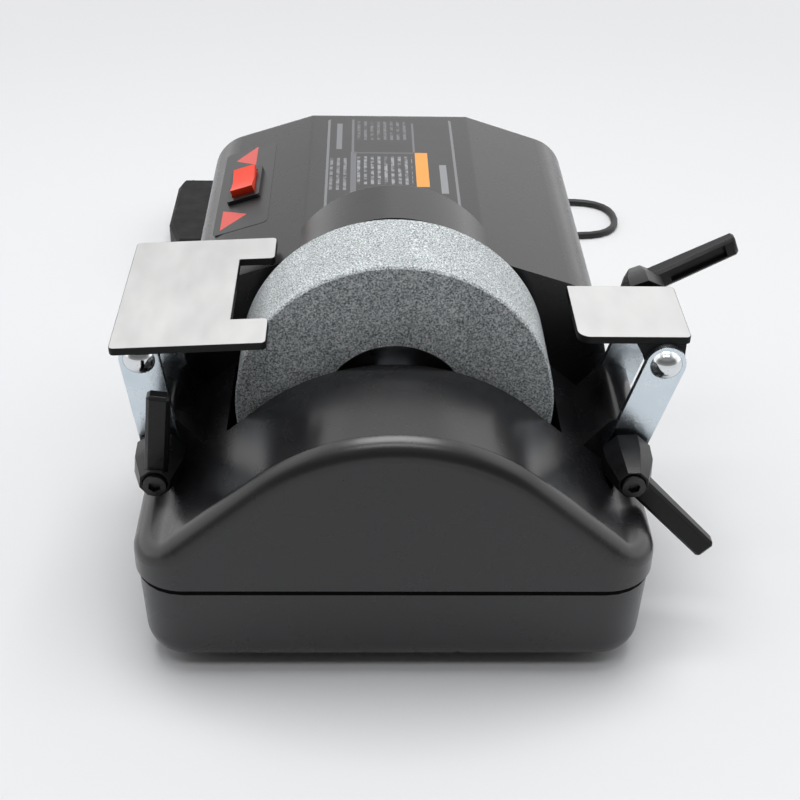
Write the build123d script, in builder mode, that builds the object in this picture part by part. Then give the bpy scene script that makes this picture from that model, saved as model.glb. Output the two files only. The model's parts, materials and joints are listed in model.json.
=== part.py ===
# Wet knife sharpener: moulded housing, water-cooled wheel, two swinging rests, geared motor inside
# Millimetres, +Z up, +Y towards the back, origin on the table under the middle of the housing

import os
from math import acos, asin, atan2, cos, degrees, pi, radians, sin, tan

from build123d import *

os.makedirs("parts", exist_ok=True)

# Clearances and fits
fit = 0.05
pivot_fit = 0.1
side_gap = 0.15
tiny = 0.01

# Grinding wheel
wheel_dia = 125
wheel_width = 40
wheel_front_y = -70.5
axis_z = 90
wheel_bore = 20
recess_dia = 57
recess_depth = 15
wheel_edge = 0.8

# Housing, both halves
body_length = 255
body_width = 200
body_corner_r = 20
wall = 3
front_wall = 5
seam_z = 45

# Lower housing
base_inset = 1
base_draft = 2.5
base_round = 11
seam_groove = 1.6
groove_depth = 1.5
lip_height = 3
lip_root = 8
lip_width = 2
lip_gap = 0.25
foot_height = 5
foot_dia = 18
foot_x = 74
foot_y = 92
foot_peg_dia = 8
foot_head_dia = 11
foot_head = 2.5
trough_rail = 7
rail_width = 4
rail_x = 40
inlet_x = 35
inlet_z = 27
inlet_pad_dia = 18
inlet_pad_inset = 0.3
inlet_bore = 10

# Housing screws
boss_x = 80
boss_y = 108
lower_boss_dia = 12
upper_boss_dia = 10
upper_boss_rise = 30
boss_rib = 2.5
screw_dia = 4
screw_head_dia = 7.6
screw_head = 3.2
screw_seat_z = 20
screw_rise = 20
socket_size = 2.5
hex_sides = 6
socket_depth = 2

# Arch in front of the wheel and beside it
arch_top_z = 112.7
arch_r = 80
flank_angle = 41.3
shelf_z = 60
valley_r = 12
edge_r = 8
slot_front_gap = 4
slot_rear_gap = 3.5
slot_side_gap = 3.5
skirt = 3

# Pivot ears
pivot_x = 92
pivot_z = 72.1
ear_top_z = 85.5
ear_outer_inset = 1
ear_top_width = 12.3
ear_slope_width = 11.7
ear_slope_height = 14
ear_r = 7

# Rear housing and visor
house_gap = 7.5
roof_z = 131
roof_width = 75
facet_angle = 18
side_draft = 13.4
shoulder_r = 20
crease_r = 4
rear_r = 4
visor_gap = 2.5
visor_drop = 1.5
visor_r = 46.8
visor_length = 32
visor_wall = 4
visor_edge_r = 1
visor_root = 5

# Rocker switch on the left facet
switch_x = -66
switch_y = 62
bezel_width = 15.3
bezel_length = 31
bezel_height = 2
bezel_r = 1.5
switch_width = 12.6
switch_length = 27
switch_depth = 14
pocket_width = 10.8
pocket_length = 24
pocket_depth = 9
rocker_width = 10.4
rocker_length = 22.6
rocker_end_height = 5
rocker_mid_height = 3.6
rocker_taper = 1.8
rocker_depth = 5.5
rocker_pin_dia = 2.4
rocker_pin_length = 12.3
rocker_pin_depth = 1

# Water trough
trough_wall = 2.5
trough_margin = 1.5
trough_gap = 0.2

# Spindle and wheel clamp
thread_dia = 12
thread_start = 0.5
thread_runout = 1
flange_dia = 50
outer_flange = 4
inner_flange_width = 3
nut_size = 19
nut_height = 10
collar_dia = 24
seal_dia = 36
seal_width = 6
journal_dia = 17
bearing_dia = 40
bearing_width = 12
bearing_groove = 1
bearing_groove_inner = 26
bearing_groove_outer = 33
plate_gap = 1.5
plate_space = 21
gear_start = 5
gear_width = 10
pinion_start = 3
pinion_width = 14
spindle_tail = 1.5

# Gears
module = 1.25
gear_teeth = 56
pinion_teeth = 12
pressure_angle = 20
addendum = 0.85
dedendum = 1.2
tooth_thinning = 0.3
mesh_angle = -45

# Gear plates and motor
plate_top_r = 28
plate_left = 28
plate_right = 32
spacer_dia = 10
spacer_places = ((-20, 28), (54, 18), (54, 44))
long_screw_dia = 5
long_head_dia = 8.5
long_head = 3.5
motor_dia = 62
motor_length = 68
motor_bore = 44
motor_face = 4
motor_screw_r = 20
cap_length = 8
cap_spigot = 3
rotor_shaft_dia = 8
armature_dia = 40
armature_length = 45
armature_start = 10
shaft_tail = 4.5

# Swing links
link_length = 42
link_width = 15.5
link_thick = 3
lug_r = 7.5
right_lean = 16.5
left_lean = -7.8
bolt_dia = 6
dome_dia = 12.5
upper_dome = 3.8
lower_dome = 3.4

# Rests, measured from their own pivots
plate_thick = 3
right_top = 10.6
right_in = 34.4
right_out = 9.1
right_corner_r = 5
right_sharp_r = 0.8
right_gusset = 4.2
left_top = 16.4
left_in = 50.7
left_out = 6.8
left_length = 83
left_tilt = 3
notch_depth = 14
notch_length = 47
plate_corner_r = 2

# Clamping levers, measured outwards from the link face
hub_r = 10.2
hub_sides = 8
hub_start = 2.4
hub_shoulder = 11.5
hub_shoulder_r = 9.9
hub_end = 23
hub_end_r = 6.2
arm_reach = 43
arm_width = 8.8
arm_root = 17
arm_tip = 25
arm_root_thick = 8.5
arm_tip_thick = 6.5
arm_edge = 1.3
channel_width = 5
channel_depth = 2.2
channel_start = 13
channel_end = 38
insert_flange_dia = 12
insert_flange = 2
serration_size = 10
serration_end = 4.8
serration_fit = 0.2
insert_dia = 8.6
insert_end = 12.6
insert_bore_end = 11
bolt_end = 7.2
neck_dia = 6.2
neck_end = 22.4
web_start = 13
web_end = 15
web_gap = 0.3
counterbore_dia = 9.8
cap_screw_dia = 9
cap_screw_head = 2.4
cap_screw_shank = 4
cap_screw_depth = 8
spring_dia = 9
spring_bore = 6.8
right_lower_arm = -43
left_lower_arm = 83.4
right_upper_arm = 22
left_upper_arm = 256

# Supply lead
lead_dia = 4.2
bend_share = 0.45
sleeve_flange_dia = 14
sleeve_flange = 2
sleeve_root_dia = 10.4
sleeve_tip_dia = 7
sleeve_length = 22
sleeve_inside = 8
coil_x = -30
coil_y = 175
coil_mid_r = 23.25
coil_width = 13.2
coil_height = 12.9
coil_round = 4
tie_thick = 0.9
tie_width = 6
lead_points = [
    (inlet_x, body_length / 2 - front_wall, inlet_z),
    (inlet_x, 172, inlet_z),
    (39, 217, 11),
    (56, 244, lead_dia / 2),
    (97, 250, lead_dia / 2),
    (145, 251, lead_dia / 2),
    (146, 296, lead_dia / 2),
    (98, 298, lead_dia / 2),
    (52, 286, lead_dia / 2),
    (18, 256, lead_dia / 2),
    (5, 220, lead_dia / 2),
    (-2.35, 194, lead_dia / 2),
    (-2.35, 176, lead_dia / 2),
]
plug_x = -111
plug_z = 12
tail_points = [
    (-31, 147.4, 11.6),
    (-58, 147, 8),
    (-87, 149.5, 2.6),
    (-108, 167, 5.5),
    (plug_x, 194, plug_z),
]
plug_front_y = 198
plug_length = 82
plug_width = 30
plug_front_width = 16
plug_rear_width = 25
plug_front_taper = 22
plug_rear_taper = 10
plug_edge = 2
plug_neck_dia = 10
plug_neck = 12
pin_dia = 4.8
pin_length = 19
pin_spacing = 19

# Places that follow from the sizes
wheel_r = wheel_dia / 2
wheel_rear_y = wheel_front_y + wheel_width
wheel_mid_y = wheel_front_y + wheel_width / 2
web_y = wheel_front_y + recess_depth
half_width = body_width / 2
front_y = -body_length / 2
rear_y = body_length / 2
inlet_pad_y = rear_y - inlet_pad_inset
base_z = foot_height
floor_z = base_z + wall
slot_half = wheel_r + slot_side_gap
slot_front_y = wheel_front_y - slot_front_gap
slot_rear_y = wheel_rear_y + slot_rear_gap
house_y = wheel_rear_y + house_gap
roof_half = roof_width / 2
side_slope = tan(radians(side_draft))
facet_slope = tan(radians(facet_angle))
flank_x = arch_r * sin(radians(flank_angle))
flank_z = arch_top_z - arch_r + arch_r * cos(radians(flank_angle))
flank_foot = flank_x + (flank_z - shelf_z) / tan(radians(flank_angle))
ear_outer = half_width - ear_outer_inset
ear_inner = ear_outer - ear_top_width
visor_y = wheel_rear_y + visor_gap
visor_top_z = axis_z + wheel_r - visor_drop
lug_front_y = wheel_front_y
lug_rear_y = wheel_rear_y
front_link_y = lug_front_y - side_gap
rear_link_y = lug_rear_y + side_gap
front_face_y = front_link_y - link_thick
rear_face_y = rear_link_y + link_thick
bolt_r = bolt_dia / 2
pivot_hole_r = bolt_r + pivot_fit
screw_r = screw_dia / 2


def cross(y):
    """Plane across the body: local x is X, local y is Z, normal towards the front."""
    return Plane(origin=(0, y, 0), x_dir=(1, 0, 0), z_dir=(0, -1, 0))


def back(x, y, z):
    """Plane across the body at a point, normal towards the back."""
    return Plane(origin=(x, y, z), x_dir=(1, 0, 0), z_dir=(0, 1, 0))


def saddle(inset, front_inset, bottom):
    """Arch, flanks and shelves from the front to the rear housing, or their cavity when inset."""
    start = front_y + front_inset
    side = half_width - inset
    top = shelf_z - inset
    with BuildPart() as block:
        with BuildSketch(cross(start)):
            with BuildLine():
                Polyline(
                    (flank_x, flank_z),
                    (flank_foot, shelf_z),
                    (half_width, shelf_z),
                    (half_width, bottom),
                    (-half_width, bottom),
                    (-half_width, shelf_z),
                    (-flank_foot, shelf_z),
                    (-flank_x, flank_z),
                )
                ThreePointArc((-flank_x, flank_z), (0, arch_top_z), (flank_x, flank_z))
            make_face()
            fillet(vertices().filter_by(lambda v: abs(abs(v.X) - flank_foot) < tiny), valley_r)
            if inset:
                offset(amount=-inset, kind=Kind.INTERSECTION)
        extrude(amount=start - house_y)
        fillet(edges().filter_by(Axis.Z).group_by(Axis.Y)[0], body_corner_r - inset)
        low = bottom + inset + tiny
        rim = edges().filter_by_position(Axis.Y, start - tiny, start + tiny)
        rim = rim.filter_by(Axis.Z, reverse=True).filter_by(lambda e: e.center().Z > low)
        level = edges().filter_by_position(Axis.Z, top - tiny, top + tiny)
        corners = level.filter_by(GeomType.CIRCLE)
        sides = level.filter_by(Axis.Y).filter_by(lambda e: abs(e.center().X) > side - tiny)
        fillet(rim + corners + sides, edge_r - inset)
    return block.part


def house(inset, bottom):
    """Faceted rear housing, or its cavity when inset."""
    shoulder_x = half_width - side_slope * (roof_z - seam_z + facet_slope * roof_half)
    shoulder_x = shoulder_x / (1 - side_slope * facet_slope)
    shoulder_z = roof_z - facet_slope * (shoulder_x - roof_half)
    foot = half_width + side_slope * (seam_z - bottom)
    with BuildPart() as block:
        with BuildSketch(cross(house_y + inset)):
            with BuildLine():
                Polyline(
                    (-foot, bottom),
                    (-shoulder_x, shoulder_z),
                    (-roof_half, roof_z),
                    (roof_half, roof_z),
                    (shoulder_x, shoulder_z),
                    (foot, bottom),
                    close=True,
                )
            make_face()
            fillet(vertices().filter_by(lambda v: abs(abs(v.X) - shoulder_x) < tiny), shoulder_r)
            fillet(vertices().filter_by(lambda v: abs(abs(v.X) - roof_half) < tiny), crease_r)
            if inset:
                offset(amount=-inset, kind=Kind.INTERSECTION)
        extrude(amount=house_y + 2 * inset - rear_y)
        rim = edges().filter_by_position(Axis.Y, rear_y - inset - tiny, rear_y - inset + tiny)
        fillet(rim.filter_by(lambda e: e.center().Z > bottom + inset + tiny), rear_r)
        with BuildSketch(Plane.XY.offset(bottom)):
            RectangleRounded(
                body_width - 2 * inset, body_length - 2 * inset, body_corner_r - inset
            )
        extrude(amount=roof_z - bottom + wall, mode=Mode.INTERSECT)
    return block.part


def visor(inset):
    """Barrel hood behind the wheel, standing on the roof, or its cavity when inset."""
    low = roof_z - visor_root - 2 * inset
    start = house_y + inset if inset else visor_y
    end = visor_y + visor_length - inset
    with BuildPart() as hood:
        with BuildSketch(cross(start)):
            with Locations((0, visor_top_z - visor_r)):
                Circle(visor_r - inset)
            with Locations((0, low)):
                Rectangle(2 * visor_r, 2 * visor_r, align=(Align.CENTER, Align.MIN), mode=Mode.INTERSECT)
        extrude(amount=start - end)
        if not inset:
            rear = edges().filter_by_position(Axis.Y, end - tiny, end + tiny)
            fillet(rear.filter_by(GeomType.CIRCLE), visor_edge_r)
    return hood.part


saddle_outer = saddle(0, 0, seam_z)
house_outer = house(0, seam_z)

# Wheel well in the arch: walls all round the slot, down to the seam
with BuildPart() as well:
    with BuildSketch(Plane.XY.offset(seam_z)):
        with Locations((0, (slot_front_y - skirt + house_y) / 2)):
            Rectangle(2 * (slot_half + skirt), house_y - slot_front_y + skirt)
    extrude(amount=arch_top_z)
    add(saddle_outer, mode=Mode.INTERSECT)

# Bosses for the housing screws, tied to the skin
with BuildPart() as bosses:
    with BuildSketch(Plane.XY.offset(seam_z)):
        with GridLocations(2 * boss_x, 2 * boss_y, 2, 2):
            Circle(upper_boss_dia / 2)
    extrude(amount=upper_boss_rise)
    with BuildSketch(Plane.XY.offset(seam_z + 2 * lip_height)):
        with GridLocations(boss_x + half_width, 2 * boss_y, 2, 2):
            Rectangle(half_width - boss_x, boss_rib)
    extrude(amount=upper_boss_rise - 2 * lip_height)
    add(saddle_outer + house_outer, mode=Mode.INTERSECT)

facet_z = roof_z - facet_slope * (-switch_x - roof_half)
switch_plane = Plane(
    origin=(switch_x, switch_y, facet_z),
    x_dir=(cos(radians(facet_angle)), 0, sin(radians(facet_angle))),
    z_dir=(-sin(radians(facet_angle)), 0, cos(radians(facet_angle))),
)

with BuildPart() as upper_housing:
    add(saddle_outer)
    for hand in (-1, 1):
        with BuildSketch(cross(lug_front_y)):
            with BuildLine():
                Polyline(
                    (hand * (ear_inner - ear_slope_width), ear_top_z - ear_slope_height),
                    (hand * ear_inner, ear_top_z),
                    (hand * ear_outer, ear_top_z),
                    (hand * ear_outer, seam_z),
                    (hand * (ear_inner - ear_slope_width), seam_z),
                    close=True,
                )
            make_face()
            fillet(vertices().filter_by(lambda v: v.Y > ear_top_z - tiny), ear_r)
        extrude(amount=-wheel_width)
    add(house_outer)
    add(visor(0))
    add(saddle(wall, front_wall, seam_z - 2 * wall), mode=Mode.SUBTRACT)
    add(house(wall, seam_z - 2 * wall), mode=Mode.SUBTRACT)
    add(visor(visor_wall), mode=Mode.SUBTRACT)
    add(well.part)
    add(bosses.part)
    with BuildSketch(Plane.XY.offset(seam_z)):
        with Locations((0, (slot_front_y + slot_rear_y) / 2)):
            Rectangle(2 * slot_half, slot_rear_y - slot_front_y)
    extrude(amount=arch_top_z, mode=Mode.SUBTRACT)
    with BuildSketch(back(0, slot_rear_y, axis_z)):
        Circle(seal_dia / 2)
    extrude(amount=house_y + wall - slot_rear_y, mode=Mode.SUBTRACT)
    for hand in (-1, 1):
        with BuildSketch(back(hand * pivot_x, lug_front_y, pivot_z)):
            Circle(bolt_r + fit)
        extrude(amount=wheel_width, mode=Mode.SUBTRACT)
    with BuildSketch(Plane.XY.offset(seam_z)):
        with GridLocations(2 * boss_x, 2 * boss_y, 2, 2):
            Circle(screw_r + fit)
    extrude(amount=screw_rise + socket_depth, mode=Mode.SUBTRACT)
    with BuildSketch(switch_plane):
        Rectangle(switch_width + 4 * fit, switch_length + 4 * fit)
    extrude(amount=-2 * wall, mode=Mode.SUBTRACT)
upper_housing.part.label = "upper_housing"
export_step(upper_housing.part, "parts/upper_housing.step")

# Lower housing with lip, bosses, trough rails and lead inlet
base_width = body_width - 2 * base_inset
base_length = body_length - 2 * base_inset
base_depth = seam_z - base_z
cavity_front_y = front_y + base_inset + front_wall
cavity_rear_y = rear_y - base_inset - wall
lip_side = half_width - wall - lip_height * side_slope - lip_gap
lip_front_y = front_y + front_wall + lip_gap
lip_rear_y = rear_y - wall - lip_gap
lip_r = body_corner_r - wall
rail_length = slot_rear_y - slot_front_y

with BuildPart() as base_cavity:
    with BuildSketch(Plane(origin=(0, 0, seam_z), x_dir=(1, 0, 0), z_dir=(0, 0, -1))):
        with Locations((0, -(cavity_front_y + cavity_rear_y) / 2)):
            RectangleRounded(
                base_width - 2 * wall, cavity_rear_y - cavity_front_y, body_corner_r - base_inset - wall
            )
    extrude(amount=base_depth - wall, taper=base_draft)
    fillet(faces().sort_by(Axis.Z)[0].edges(), base_round - wall)

with BuildPart() as lower_housing:
    with BuildSketch(Plane(origin=(0, 0, seam_z), x_dir=(1, 0, 0), z_dir=(0, 0, -1))):
        RectangleRounded(base_width, base_length, body_corner_r - base_inset)
    extrude(amount=base_depth, taper=base_draft)
    fillet(faces().sort_by(Axis.Z)[0].edges(), base_round)
    with BuildSketch(back(inlet_x, rear_y - front_wall, inlet_z)):
        Circle(inlet_pad_dia / 2)
    extrude(amount=inlet_pad_y - rear_y + front_wall)
    add(base_cavity.part, mode=Mode.SUBTRACT)
    with BuildSketch(Plane.XY.offset(seam_z - lip_root)):
        with Locations((0, (lip_front_y + lip_rear_y) / 2)):
            RectangleRounded(2 * lip_side, lip_rear_y - lip_front_y, lip_r)
            RectangleRounded(
                2 * (lip_side - lip_width),
                lip_rear_y - lip_front_y - 2 * lip_width,
                lip_r - lip_width,
                mode=Mode.SUBTRACT,
            )
    extrude(amount=lip_root + lip_height)
    with BuildSketch(Plane.XY.offset(seam_z)):
        with Locations((0, house_y + wall / 2)):
            Rectangle(body_width, wall + 2 * lip_gap)
    extrude(amount=lip_height, mode=Mode.SUBTRACT)
    with BuildSketch(Plane.XY.offset(seam_z - seam_groove)):
        RectangleRounded(base_width + wall, base_length + wall, body_corner_r)
        RectangleRounded(
            base_width - 2 * groove_depth,
            base_length - 2 * groove_depth,
            body_corner_r - base_inset - groove_depth,
            mode=Mode.SUBTRACT,
        )
    extrude(amount=seam_groove, mode=Mode.SUBTRACT)
    with BuildSketch(Plane.XY.offset(base_z + wall / 2)):
        with GridLocations(2 * boss_x, 2 * boss_y, 2, 2):
            Circle(lower_boss_dia / 2)
    extrude(amount=seam_z - base_z - wall / 2)
    with BuildSketch(Plane.XY.offset(base_z + wall / 2)):
        with Locations((-rail_x, wheel_mid_y), (rail_x, wheel_mid_y)):
            Rectangle(rail_width, rail_length)
    extrude(amount=trough_rail + wall / 2)
    with BuildSketch(Plane.XY.offset(base_z)):
        with GridLocations(2 * boss_x, 2 * boss_y, 2, 2):
            Circle(screw_head_dia / 2 + pivot_fit)
    extrude(amount=screw_seat_z - base_z, mode=Mode.SUBTRACT)
    with BuildSketch(Plane.XY.offset(base_z)):
        with GridLocations(2 * boss_x, 2 * boss_y, 2, 2):
            Circle(screw_r + fit)
    extrude(amount=base_depth, mode=Mode.SUBTRACT)
    with BuildSketch(Plane.XY.offset(base_z)):
        with GridLocations(2 * foot_x, 2 * foot_y, 2, 2):
            Circle(foot_peg_dia / 2 + fit)
    extrude(amount=wall, mode=Mode.SUBTRACT)
    with BuildSketch(back(inlet_x, rear_y - 2 * wall - front_wall, inlet_z)):
        Circle(inlet_bore / 2)
    extrude(amount=2 * body_corner_r, mode=Mode.SUBTRACT)
lower_housing.part.label = "lower_housing"
export_step(lower_housing.part, "parts/lower_housing.step")

with BuildPart() as housing_screws:
    with BuildSketch(Plane.XY.offset(screw_seat_z - screw_head)):
        with GridLocations(2 * boss_x, 2 * boss_y, 2, 2):
            Circle(screw_head_dia / 2)
            RegularPolygon(socket_size, hex_sides, mode=Mode.SUBTRACT)
    extrude(amount=socket_depth)
    with BuildSketch(Plane.XY.offset(screw_seat_z - screw_head + socket_depth)):
        with GridLocations(2 * boss_x, 2 * boss_y, 2, 2):
            Circle(screw_head_dia / 2)
    extrude(amount=screw_head - socket_depth)
    with BuildSketch(Plane.XY.offset(screw_seat_z)):
        with GridLocations(2 * boss_x, 2 * boss_y, 2, 2):
            Circle(screw_r)
    extrude(amount=seam_z + screw_rise - screw_seat_z)
housing_screws.part.label = "housing_screws"
export_step(housing_screws.part, "parts/housing_screws.step")

with BuildPart() as rubber_feet:
    with BuildSketch(Plane.XY):
        with GridLocations(2 * foot_x, 2 * foot_y, 2, 2):
            Circle(foot_dia / 2)
    extrude(amount=foot_height)
    with BuildSketch(Plane.XY.offset(foot_height)):
        with GridLocations(2 * foot_x, 2 * foot_y, 2, 2):
            Circle(foot_peg_dia / 2)
    extrude(amount=wall)
    with BuildSketch(Plane.XY.offset(floor_z)):
        with GridLocations(2 * foot_x, 2 * foot_y, 2, 2):
            Circle(foot_head_dia / 2)
    extrude(amount=foot_head)
rubber_feet.part.label = "rubber_feet"
export_step(rubber_feet.part, "parts/rubber_feet.step")

# Water trough under the wheel, open at the top
trough_half = slot_half + trough_margin
trough_front_y = slot_front_y - trough_margin
trough_rear_y = slot_rear_y + trough_margin
trough_z = floor_z + trough_rail
with BuildPart() as water_trough:
    with BuildSketch(Plane.XY.offset(trough_z)):
        with Locations((0, (trough_front_y + trough_rear_y) / 2)):
            Rectangle(
                2 * (trough_half + trough_wall), trough_rear_y - trough_front_y + 2 * trough_wall
            )
    extrude(amount=seam_z - trough_gap - trough_z)
    with BuildSketch(Plane.XY.offset(trough_z + trough_wall)):
        with Locations((0, (trough_front_y + trough_rear_y) / 2)):
            Rectangle(2 * trough_half, trough_rear_y - trough_front_y)
    extrude(amount=seam_z, mode=Mode.SUBTRACT)
water_trough.part.label = "water_trough"
export_step(water_trough.part, "parts/water_trough.step")

# Rocker switch
with BuildPart() as switch_body:
    with BuildSketch(switch_plane):
        RectangleRounded(bezel_width, bezel_length, bezel_r)
    extrude(amount=bezel_height)
    with BuildSketch(switch_plane):
        Rectangle(switch_width, switch_length)
    extrude(amount=-switch_depth)
    with BuildSketch(switch_plane.offset(bezel_height)):
        Rectangle(pocket_width, pocket_length)
    extrude(amount=-bezel_height - pocket_depth, mode=Mode.SUBTRACT)
    with BuildSketch(
        Plane(
            origin=switch_plane.from_local_coords((0, 0, -rocker_pin_depth)),
            x_dir=(0, 1, 0),
            z_dir=switch_plane.x_dir,
        )
    ):
        Circle(rocker_pin_dia / 2 + fit)
    extrude(amount=switch_width / 2, both=True, mode=Mode.SUBTRACT)
switch_body.part.label = "switch_body"
export_step(switch_body.part, "parts/switch_body.step")

rocker_half = rocker_length / 2
with BuildPart() as switch_rocker:
    with BuildSketch(
        Plane(origin=switch_plane.origin, x_dir=(0, 1, 0), z_dir=switch_plane.x_dir)
    ):
        with BuildLine():
            Polyline(
                (0, rocker_mid_height),
                (rocker_half, rocker_end_height),
                (rocker_half - rocker_taper, -rocker_depth / 2),
                (0, -rocker_depth),
                (rocker_taper - rocker_half, -rocker_depth / 2),
                (-rocker_half, rocker_end_height),
                close=True,
            )
        make_face()
    extrude(amount=rocker_width / 2, both=True)
    with BuildSketch(
        Plane(
            origin=switch_plane.from_local_coords((0, 0, -rocker_pin_depth)),
            x_dir=(0, 1, 0),
            z_dir=switch_plane.x_dir,
        )
    ):
        Circle(rocker_pin_dia / 2)
    extrude(amount=rocker_pin_length / 2, both=True)
switch_rocker.part.label = "switch_rocker"
export_step(switch_rocker.part, "parts/switch_rocker.step")

# Wheel and its clamp on the spindle
with BuildPart() as grinding_wheel:
    with BuildSketch(back(0, wheel_front_y, axis_z)):
        Circle(wheel_r)
    extrude(amount=wheel_width)
    chamfer(edges().filter_by(GeomType.CIRCLE), wheel_edge)
    with BuildSketch(back(0, wheel_front_y, axis_z)):
        Circle(recess_dia / 2)
    extrude(amount=recess_depth, mode=Mode.SUBTRACT)
    with BuildSketch(back(0, web_y, axis_z)):
        Circle(wheel_bore / 2 + fit)
    extrude(amount=wheel_width, mode=Mode.SUBTRACT)
grinding_wheel.part.label = "grinding_wheel"
export_step(grinding_wheel.part, "parts/grinding_wheel.step")

with BuildPart() as outer_flange_disc:
    with BuildSketch(back(0, web_y - outer_flange, axis_z)):
        Circle(flange_dia / 2)
        Circle(thread_dia / 2 + fit, mode=Mode.SUBTRACT)
    extrude(amount=outer_flange)
outer_flange_disc.part.label = "outer_flange"
export_step(outer_flange_disc.part, "parts/outer_flange.step")

with BuildPart() as arbor_nut:
    with BuildSketch(back(0, web_y - outer_flange - nut_height, axis_z)):
        RegularPolygon(nut_size / 2, hex_sides, major_radius=False)
        Circle(thread_dia / 2 + fit, mode=Mode.SUBTRACT)
    extrude(amount=nut_height)
arbor_nut.part.label = "arbor_nut"
export_step(arbor_nut.part, "parts/arbor_nut.step")

with BuildPart() as inner_flange:
    with BuildSketch(back(0, wheel_rear_y, axis_z)):
        Circle(flange_dia / 2)
        Circle(wheel_bore / 2 + fit, mode=Mode.SUBTRACT)
    extrude(amount=inner_flange_width)
inner_flange.part.label = "inner_flange"
export_step(inner_flange.part, "parts/inner_flange.step")

# Distances along the spindle
collar_y = wheel_rear_y + inner_flange_width
plate_front_y = house_y + wall + plate_gap
plate_inner_y = plate_front_y + bearing_width
plate_back_y = plate_inner_y + plate_space
plate_end_y = plate_back_y + bearing_width
gear_y = plate_inner_y + gear_start
pinion_y = plate_inner_y + pinion_start
seal_y = house_y + wall - seal_width

with BuildPart() as spindle:
    with BuildSketch(back(0, wheel_front_y + thread_start, axis_z)):
        Circle(thread_dia / 2)
    extrude(amount=recess_depth - thread_start + thread_runout)
    with BuildSketch(back(0, web_y + thread_runout, axis_z)):
        Circle(wheel_bore / 2)
    extrude(amount=collar_y - web_y - thread_runout)
    with BuildSketch(back(0, collar_y, axis_z)):
        Circle(collar_dia / 2)
    extrude(amount=plate_front_y - collar_y)
    with BuildSketch(back(0, plate_front_y, axis_z)):
        Circle(journal_dia / 2)
    extrude(amount=plate_end_y + spindle_tail - plate_front_y)
spindle.part.label = "spindle"
export_step(spindle.part, "parts/spindle.step")

with BuildPart() as shaft_seal:
    with BuildSketch(back(0, seal_y, axis_z)):
        Circle(seal_dia / 2)
        Circle(collar_dia / 2 + fit, mode=Mode.SUBTRACT)
    extrude(amount=seal_width)
shaft_seal.part.label = "shaft_seal"
export_step(shaft_seal.part, "parts/shaft_seal.step")


def bearing(y):
    """Sealed ball bearing with the ring of its shield sunk in both faces."""
    with BuildPart() as ring:
        with BuildSketch(back(0, y, axis_z)):
            Circle(bearing_dia / 2)
            Circle(journal_dia / 2 + fit, mode=Mode.SUBTRACT)
        extrude(amount=bearing_width)
        for place in (y, y + bearing_width - bearing_groove):
            with BuildSketch(back(0, place, axis_z)):
                Circle(bearing_groove_outer / 2)
                Circle(bearing_groove_inner / 2, mode=Mode.SUBTRACT)
            extrude(amount=bearing_groove, mode=Mode.SUBTRACT)
    return ring.part


front_bearing = bearing(plate_front_y)
front_bearing.label = "front_bearing"
export_step(front_bearing, "parts/front_bearing.step")
rear_bearing = bearing(plate_back_y)
rear_bearing.label = "rear_bearing"
export_step(rear_bearing, "parts/rear_bearing.step")


def involute(angle):
    return tan(angle) - angle


def gear_points(teeth, turn):
    """Closed outline of a spur gear with a tooth centred on the angle turn."""
    pitch_r = module * teeth / 2
    base_r = pitch_r * cos(radians(pressure_angle))
    root_r = pitch_r - dedendum * module
    tip_r = pitch_r + addendum * module
    half = pi / (2 * teeth) - tooth_thinning / (2 * pitch_r)
    start_r = max(base_r, root_r)
    flank = []
    for r in (start_r, (start_r + tip_r) / 2, tip_r):
        swing = half + involute(radians(pressure_angle)) - involute(acos(min(1, base_r / r)))
        flank.append((r, swing))
    if root_r < base_r:
        flank.insert(0, (root_r, flank[0][1]))
    points = []
    for tooth in range(teeth):
        mid = turn + 2 * pi * tooth / teeth
        for r, swing in flank:
            points.append((r * cos(mid - swing), r * sin(mid - swing)))
        for r, swing in reversed(flank):
            points.append((r * cos(mid + swing), r * sin(mid + swing)))
    return points


mesh_distance = module * (gear_teeth + pinion_teeth) / 2
mesh_turn = radians(mesh_angle)
motor_x = mesh_distance * cos(mesh_turn)
motor_z = axis_z + mesh_distance * sin(mesh_turn)

with BuildPart() as drive_gear:
    with BuildSketch(Plane(origin=(0, gear_y, axis_z), x_dir=(1, 0, 0), z_dir=(0, -1, 0))):
        with BuildLine():
            Polyline(*gear_points(gear_teeth, mesh_turn), close=True)
        make_face()
        Circle(journal_dia / 2 + fit, mode=Mode.SUBTRACT)
    extrude(amount=-gear_width)
drive_gear.part.label = "drive_gear"
export_step(drive_gear.part, "parts/drive_gear.step")

with BuildPart() as pinion:
    with BuildSketch(Plane(origin=(motor_x, pinion_y, motor_z), x_dir=(1, 0, 0), z_dir=(0, -1, 0))):
        with BuildLine():
            Polyline(*gear_points(pinion_teeth, mesh_turn + pi + pi / pinion_teeth), close=True)
        make_face()
        Circle(rotor_shaft_dia / 2 + fit, mode=Mode.SUBTRACT)
    extrude(amount=-pinion_width)
pinion.part.label = "pinion"
export_step(pinion.part, "parts/pinion.step")


def gear_plate(y):
    """Gearbox plate standing on the housing floor, with the bearing seat."""
    with BuildPart() as plate:
        with BuildSketch(cross(y)):
            with BuildLine():
                Polyline(
                    (-plate_left, floor_z),
                    (motor_x + plate_right, floor_z),
                    (motor_x + plate_right, motor_z),
                    (plate_top_r, axis_z),
                    (-plate_left, axis_z),
                    close=True,
                )
            make_face()
            with Locations((0, axis_z)):
                Circle(plate_top_r)
                Circle(bearing_dia / 2, mode=Mode.SUBTRACT)
            with Locations(*spacer_places):
                Circle(long_screw_dia / 2 + fit, mode=Mode.SUBTRACT)
        extrude(amount=-bearing_width)
    return plate.part


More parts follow.
